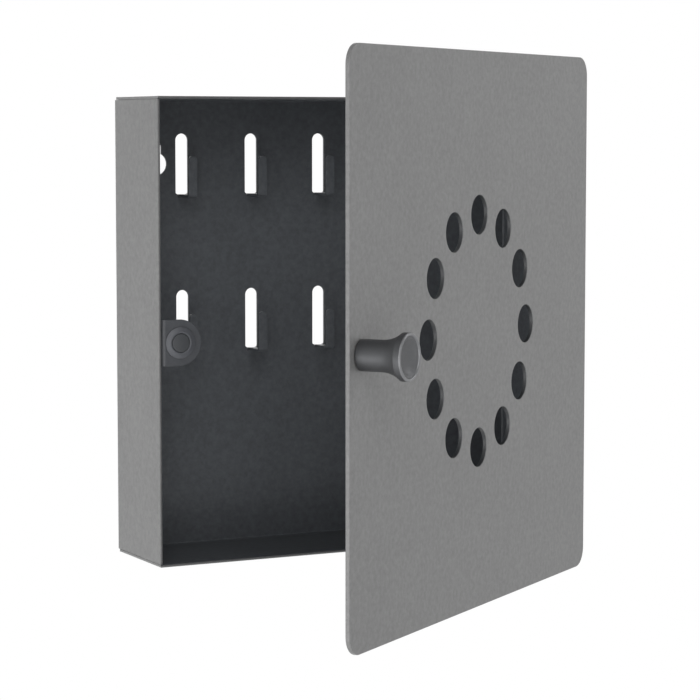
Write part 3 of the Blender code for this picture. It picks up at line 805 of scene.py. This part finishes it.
rims = [edge for edge in bm.edges if edge.calc_face_angle() > SHARP]
bmesh.ops.bevel(bm, geom=rims, offset=DOOR_SOFT, offset_type="OFFSET", segments=DOOR_SOFT_STEPS,
                profile=0.5, affect="EDGES", material=-1)
front_share = bm.verts.layers.float.new(FRONT_SHARE)
for vert in bm.verts:
    vert[front_share] = max(0, 1 - (vert.co.y - door_front) / DOOR_SOFT)
ring_reach = WINDOW_RING + 2 * WINDOW
for face in bm.faces:
    middle = face.calc_center_median()
    if face.normal.y > TO_THE_BACK:
        face.material_index = 1
    elif face.normal.y > TO_THE_FRONT and hypot(middle.x, middle.z - door_z) < ring_reach:
        face.material_index = 2
finish("door_panel", bm, "door", COATS, "door_plate", swung=True)

# %% [markdown]
# Turned parts share one way of making: half of the outline is drawn as a line of edges and spun once
# round, as on a lathe. A cylinder could be scaled ring by ring, but an outline is easier to read and
# holds any profile.

# %% Turned parts
TURN_STEPS = 96
SMALL_TURN_STEPS = 48
ONE_POINT = 0.001 * MM


def arc(centre, radius, start, end, steps):
    """Points on a circle, as distance from the axis and height, both ends included."""
    angles = [start + (end - start) * step / steps for step in range(steps + 1)]
    return [(centre[0] + radius * cos(angle), centre[1] + radius * sin(angle)) for angle in angles]


def turned(profile, place, steps=TURN_STEPS):
    """A turned solid; the profile gives distance and height, and place stands it in the model."""
    bm = bmesh.new()
    first = bm.verts.new((profile[0][0], 0, profile[0][1]))
    draw(bm, first, [(distance, 0, height) for distance, height in profile[1:]])
    bmesh.ops.spin(bm, geom=bm.verts[:] + bm.edges[:], cent=(0, 0, 0), axis=(0, 0, 1), angle=2 * pi,
                   steps=steps, use_merge=True)
    bmesh.ops.remove_doubles(bm, verts=bm.verts, dist=ONE_POINT)
    bmesh.ops.recalc_face_normals(bm, faces=bm.faces)
    bmesh.ops.transform(bm, matrix=place, verts=bm.verts)
    return bm


def out_of_door(x, y, z):
    """Stands a turned part with its axis pointing out of the shut door's face."""
    return Matrix.Translation((x, y, z)) @ UPRIGHT


print("one turn takes", TURN_STEPS, "steps")

# %% [markdown]
# The knob's stem is straight and flares steeply to the head. Its face is a dish inside a thin rounded
# rim. Both curves are powers of a share from 0 to 1: a high power stays low for long and then rises
# fast, which a quarter circle can't do. The rim gets a brighter steel, a painted highlight, and the
# dish a slightly lighter steel than the stem; a face's distance and height tell them apart.

# %% Knob
SEAT_GAP = 0.3 * MM
STEM = 6.3 * MM
HEAD = 9.5 * MM
KNOB_LENGTH = 21.15 * MM
FLARE_START = 8.6 * MM
FLARE_POWER = 2.3
FLARE_STEPS = 16
RIM_WIDTH = 2.9 * MM
RIM_ROUND = 0.65 * MM
DISH_DEPTH = 3.0 * MM
DISH_POWER = 3
DISH_STEPS = 12
FOOT_ROUND = 0.4 * MM
RIM_STEPS = 10
FOOT_STEPS = 4

knob_foot = door_front - SEAT_GAP
dish_edge = HEAD - 2 * RIM_ROUND
flare_width = HEAD - STEM
flare_length = KNOB_LENGTH - RIM_WIDTH - FLARE_START
profile =[(0, KNOB_LENGTH - DISH_DEPTH)]
for step in range(1, DISH_STEPS):
    share = step / DISH_STEPS
    profile.append((dish_edge * share, KNOB_LENGTH - DISH_DEPTH * (1 - share ** DISH_POWER)))
profile += arc((HEAD - RIM_ROUND, KNOB_LENGTH - RIM_ROUND), RIM_ROUND, pi, 0, RIM_STEPS)
for step in range(FLARE_STEPS, -1, -1):
    rise = step / FLARE_STEPS
    profile.append((STEM + flare_width * rise ** FLARE_POWER, FLARE_START + flare_length * rise))
profile += arc((STEM - FOOT_ROUND, FOOT_ROUND), FOOT_ROUND, 0, -pi / 2, FOOT_STEPS)
profile.append((0, 0))
bm = turned(profile, out_of_door(knob_x, knob_foot, knob_z))
for face in bm.faces:
    middle = face.calc_center_median()
    reach = knob_foot - middle.y
    in_dish = hypot(middle.x - knob_x, middle.z - knob_z) < dish_edge
    if in_dish and reach > KNOB_LENGTH - DISH_DEPTH:
        face.material_index = 1
    elif reach > KNOB_LENGTH - RIM_ROUND:
        face.material_index = 2
# Material 2, the rim's brighter steel, is a painted highlight
KNOB_STEELS = [KNOB_STEEL, DISH_STEEL, RIM_HIGHLIGHT_STEEL]
finish("turned_knob", bm, "door", KNOB_STEELS, "knob", swung=True)

# %% [markdown]
# Behind the door a pan head screw holds the knob. The thread is inside the knob, where nothing shows
# it, so the shank is plain, with a small point. All of it is one turned outline.

# %% Knob screw
SCREW = 2.0 * MM
SCREW_HEAD = 3.8 * MM
SCREW_HEAD_HEIGHT = 1.6 * MM
SCREW_HEAD_ROUND = 1.2 * MM
SCREW_HEAD_STEPS = 8
SCREW_BITE = 8 * MM
POINT_LENGTH = 0.4 * MM
POINT_CUT = 0.3 * MM
WASHER_HEIGHT = 0.9 * MM

head_seat = door_back + SEAT_GAP + WASHER_HEIGHT + SEAT_GAP
shank = head_seat - knob_foot + SCREW_BITE
head_round = (SCREW_HEAD - SCREW_HEAD_ROUND, SCREW_HEAD_ROUND - SCREW_HEAD_HEIGHT)
profile = [(0, shank), (SCREW - POINT_CUT, shank), (SCREW, shank - POINT_LENGTH), (SCREW, 0),
           (SCREW_HEAD, 0)]
profile += arc(head_round, SCREW_HEAD_ROUND, 0, -pi / 2, SCREW_HEAD_STEPS)
profile.append((0, -SCREW_HEAD_HEIGHT))
bm = turned(profile, out_of_door(knob_x, head_seat, knob_z), steps=SMALL_TURN_STEPS)
screw = finish("pan_head_screw", bm, "door", [ZINC], "knob_screw", swung=True)

# %% [markdown]
# The screw's head has a cross recess, which the punch leaves narrower at the bottom. Two tapered bars
# laid across each other are cut out of it. This one hole crosses the rings of the turned head, so a
# Boolean is the short way. It is applied at once, and the bars are deleted.

# %% Cross recess
CROSS_LENGTH = 2.1 * MM
CROSS_WIDTH = 0.45 * MM
CROSS_DEPTH = 0.9 * MM
CROSS_TAPER = 0.45

bm = bmesh.new()
for turn_by in (0, pi / 2):
    bar = bmesh.ops.create_cube(bm, size=1.0)["verts"]
    bmesh.ops.scale(bm, vec=(2 * CROSS_LENGTH, 2 * CROSS_DEPTH, 2 * CROSS_WIDTH), verts=bar)
    for vert in bar:
        if vert.co.y < 0:
            vert.co.x *= CROSS_TAPER
    bmesh.ops.rotate(bm, matrix=Matrix.Rotation(turn_by, 4, "Y"), verts=bar)
bmesh.ops.translate(bm, vec=(knob_x, head_seat + SCREW_HEAD_HEIGHT, knob_z), verts=bm.verts)
bmesh.ops.transform(bm, matrix=SWING, verts=bm.verts)
mesh = bpy.data.meshes.new("cross_cutter")
bm.to_mesh(mesh)
bm.free()
cutter = bpy.data.objects.new("cross_cutter", mesh)
scene.collection.objects.link(cutter)
cut = screw.modifiers.new("cross_recess", "BOOLEAN")
cut.object = cutter
cut.use_self = True
screw.modifiers.move(len(screw.modifiers) - 1, 0)
bpy.context.view_layer.update()
evaluated = screw.evaluated_get(bpy.context.evaluated_depsgraph_get())
recessed = bpy.data.meshes.new_from_object(evaluated)
screw.modifiers.clear()
screw.data = recessed
bpy.data.objects.remove(cutter)
print("screw with its recess:", len(recessed.polygons), "faces")

# %% [markdown]
# Between the screw's head and the door lies a split spring washer: a square bar wound not quite once
# round, so that its ends stand a little apart. It is a spin that also climbs, where a full ring with a
# notch would lie flat.

# %% Split spring washer
WASHER = 3.6 * MM
WASHER_PLAY = 0.35 * MM
WASHER_SOFT = 0.08 * MM
WASHER_STEPS = 48
SPLIT = radians(14)
SPRUNG = 0.25 * MM

bar_width = WASHER - SCREW - WASHER_PLAY
bar_height = WASHER_HEIGHT - SPRUNG
bm = bmesh.new()
bmesh.ops.create_grid(bm, x_segments=1, y_segments=1, size=0.5, matrix=UPRIGHT)
bmesh.ops.scale(bm, vec=(bar_width, 1, bar_height), verts=bm.verts)
bmesh.ops.translate(bm, vec=(WASHER - bar_width / 2, 0, bar_height / 2), verts=bm.verts)
bmesh.ops.spin(bm, geom=bm.faces[:], cent=(0, 0, 0), axis=(0, 0, 1), angle=2 * pi - SPLIT,
               steps=WASHER_STEPS, dvec=(0, 0, SPRUNG / WASHER_STEPS))
bmesh.ops.recalc_face_normals(bm, faces=bm.faces)
washer_place = out_of_door(knob_x, door_back + SEAT_GAP + WASHER_HEIGHT, knob_z)
bmesh.ops.transform(bm, matrix=washer_place, verts=bm.verts)
finish("split_spring_washer", bm, "door", [ZINC], "knob_lock_washer",
       soft_edge=WASHER_SOFT, swung=True)

# %% [markdown]
# The magnet sits in a small angle bracket behind the left wall's front edge. Its plate has a round end
# with a hole in the middle of the round. The plate's outline and the hole are filled in one go, and the
# leg that is welded to the wall is folded back from the plate's straight edge.

# %% Magnet bracket
BRACKET_SHEET = 1.2 * MM
BRACKET_BEND = 2.0 * MM
BRACKET_BEND_STEPS = 8
BRACKET_SOFT = 0.25 * MM
HOLDER_HOLE = 5.7 * MM
HOLE_STEPS = 48

bracket_low, bracket_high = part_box("magnet_bracket")
end_round = (bracket_high.z - bracket_low.z) / 2
bracket_z = (bracket_high.z + bracket_low.z) / 2
bracket_front = bracket_low.y
catch_x = bracket_high.x - end_round
plate_start = bracket_low.x + BRACKET_BEND

bm = bmesh.new()
first = bm.verts.new((catch_x, bracket_front, bracket_low.z))
last = sweep(bm, first, (catch_x, bracket_front, bracket_z), (0, -1, 0), pi, 2 * ROUND_STEPS)
draw(bm, last, [(plate_start, bracket_front, z) for z in (bracket_high.z, bracket_low.z)], first)
hole_place = Matrix.Translation((catch_x, bracket_front, bracket_z)) @ UPRIGHT
bmesh.ops.create_circle(bm, cap_ends=False, radius=HOLDER_HOLE, segments=HOLE_STEPS, matrix=hole_place)
bmesh.ops.triangle_fill(bm, use_beauty=True, edges=bm.edges[:], normal=(0, -1, 0))
straight = edges_at(bm, lambda place: abs(place.x - plate_start) < CLOSE)
free = fold(bm, straight, (plate_start, bracket_front + BRACKET_BEND, 0), (0, 0, -1), pi / 2,
            BRACKET_BEND_STEPS)
pull(bm, free, (0, bracket_high.y - bracket_front - BRACKET_BEND, 0))
face_out(bm, (0, -1, 0))
bm = thicken(bm, BRACKET_SHEET)
finish("catch_bracket", bm, "cabinet", [CATCH_PAINT], "magnet_bracket",
       soft_edge=BRACKET_SOFT, edge_steps=3)

# %% [markdown]
# A plastic collar snaps into the hole and holds the magnet. Its front is a low cone, light on the side
# that looks at the lamp, and behind the plate a barbed rim keeps it in. The magnet is a plain disc
# whose edge was broken in the press. Both are turned outlines, which start and end on the axis.

# %% Magnet and its holder
FLANGE = 6.8 * MM
FLANGE_FACE = 5.0 * MM
FLANGE_HEIGHT = 1.0 * MM
FLANGE_LIP = 0.25 * MM
EDGE_CUT = 0.1 * MM
EDGE_DROP = 0.08 * MM
HOLDER_SHANK = 5.4 * MM
BARB = 6.0 * MM
BARB_LENGTH = 1.5 * MM
HOLDER_FLOOR = 0.8 * MM
BORE_PLAY = 0.12 * MM
BORE_CUT = 0.15 * MM
MAGNET = 4.0 * MM
MAGNET_LENGTH = 5.0 * MM
MAGNET_PROUD = 0.2 * MM
MAGNET_CUT = 0.25 * MM

catch_place = out_of_door(catch_x, bracket_front - SEAT_GAP, bracket_z)
bore = MAGNET + BORE_PLAY
magnet_face = FLANGE_HEIGHT + MAGNET_PROUD
bore_floor = magnet_face - MAGNET_LENGTH - SEAT_GAP
collar_end = bore_floor - HOLDER_FLOOR
barb_top = -BRACKET_SHEET - 2 * SEAT_GAP
profile = [(0, bore_floor), (bore, bore_floor), (bore, FLANGE_HEIGHT - BORE_CUT),
           (bore + BORE_CUT, FLANGE_HEIGHT), (FLANGE_FACE - EDGE_CUT, FLANGE_HEIGHT),
           (FLANGE_FACE + EDGE_CUT, FLANGE_HEIGHT - EDGE_DROP), (FLANGE - EDGE_CUT, FLANGE_LIP),
           (FLANGE, FLANGE_LIP - EDGE_CUT), (FLANGE, 0), (HOLDER_SHANK, 0), (HOLDER_SHANK, barb_top),
           (BARB, barb_top), (HOLDER_SHANK, barb_top - BARB_LENGTH), (HOLDER_SHANK, collar_end),
           (0, collar_end)]
bm = turned(profile, catch_place)
finish("magnet_collar", bm, "cabinet", [HOLDER_PLASTIC], "magnet_holder")

profile = [(0, magnet_face), (MAGNET - MAGNET_CUT, magnet_face), (MAGNET, magnet_face - MAGNET_CUT),
           (MAGNET, magnet_face - MAGNET_LENGTH), (0, magnet_face - MAGNET_LENGTH)]
bm = turned(profile, catch_place)
finish("magnet_disc", bm, "cabinet", [FERRITE], "catch_magnet")

# %% [markdown]
# The hinges are ordinary butt hinges. Each leaf is sheet whose end is rolled round the pin, so its
# knuckles are curls with a seam, and tubes set on a plate would lack it. The leaf is drawn on one
# plane, its knuckle strips are pulled out to the pin and spun most of a turn round it.

# %% A hinge leaf
HINGE_SHEET = 1.2 * MM
KNUCKLE = 2.5 * MM
LEAF_WIDTH = 11 * MM
LEAF_CORNER = 2.0 * MM
LEAF_CORNER_STEPS = 6
ROLL = radians(290)
ROLL_STEPS = 24


def leaf_mesh(levels, knuckle_strips, away, wall):
    """A leaf between the first and last level; its knuckle strips are numbered from below."""
    away = Vector((*away, 0))
    wall = Vector((*wall, 0))
    near = AXIS + away * (KNUCKLE + SEAT_GAP) + wall * KNUCKLE
    bm = bmesh.new()
    first = bm.verts.new(near + Vector((0, 0, levels[0])))
    draw(bm, first, [near + Vector((0, 0, level)) for level in levels[1:]])
    strips = sorted(bm.edges, key=lambda edge: edge.verts[0].co.z + edge.verts[1].co.z)
    free = pull(bm, strips, away * LEAF_WIDTH)
    corners = [vert for vert in ends_of(free)
               if min(vert.co.z - levels[0], levels[-1] - vert.co.z) < SEAM]
    round_corners(bm, corners, LEAF_CORNER, LEAF_CORNER_STEPS)
    for number in knuckle_strips:
        root = pull(bm, [strips[number]], -away * (KNUCKLE + SEAT_GAP))
        fold(bm, root, AXIS, away.cross(wall), ROLL, ROLL_STEPS)
    face_out(bm, wall)
    return thicken(bm, HINGE_SHEET)


print("leaf width and knuckle in mm:", round(LEAF_WIDTH / MM, 1), round(2 * KNUCKLE / MM, 1))

# %% [markdown]
# Both hinges are alike: a leaf with two knuckles on the side wall, a leaf with one knuckle behind the
# door plate, and a pin with two domed heads. One could be made and copied. A loop makes both instead,
# because the solids' boxes already say where each hinge is.

# %% Hinges
KNUCKLES = 3
KNUCKLE_GAP = 0.4 * MM
LEAF_SOFT = 0.15 * MM
PIN = 1.2 * MM
PIN_HEAD = 2.1 * MM
PIN_HEAD_HEIGHT = 0.9 * MM
PIN_STEPS = 32
CROWN_STEPS = 6

for hinge_name in ("upper_hinge", "lower_hinge"):
    leaf_low, leaf_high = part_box(hinge_name + "_body_leaf")
    bottom, top = leaf_low.z, leaf_high.z
    pitch = (top - bottom + KNUCKLE_GAP) / KNUCKLES
    levels = [bottom, bottom + pitch - KNUCKLE_GAP, bottom + 2 * pitch, top]
    bm = leaf_mesh(levels, (0, 2), (0, 1), (-1, 0))
    finish(hinge_name + "_wall_leaf", bm, "cabinet", [CATCH_PAINT],
           hinge_name + "_body_leaf", soft_edge=LEAF_SOFT)
    levels = [bottom, bottom + pitch, bottom + 2 * pitch - KNUCKLE_GAP, top]
    bm = leaf_mesh(levels, (1,), (1, 0), (0, -1))
    finish(hinge_name + "_plate_leaf", bm, "door", [CATCH_PAINT],
           hinge_name + "_door_leaf", soft_edge=LEAF_SOFT, swung=True)

    low = -SEAT_GAP
    high = top - bottom + SEAT_GAP
    crown = PIN_HEAD_HEIGHT / 2
    profile = [(0, high + PIN_HEAD_HEIGHT)]
    profile += arc((PIN_HEAD - crown, high + crown), crown, pi / 2, 0, CROWN_STEPS)
    profile += [(PIN_HEAD, high), (PIN, high), (PIN, low), (PIN_HEAD, low)]
    profile += arc((PIN_HEAD - crown, low - crown), crown, 0, -pi / 2, CROWN_STEPS)
    profile.append((0, low - PIN_HEAD_HEIGHT))
    bm = turned(profile, Matrix.Translation((AXIS.x, AXIS.y, bottom)), steps=PIN_STEPS)
    finish(hinge_name + "_rivet_pin", bm, "cabinet", [ZINC], hinge_name + "_pin")
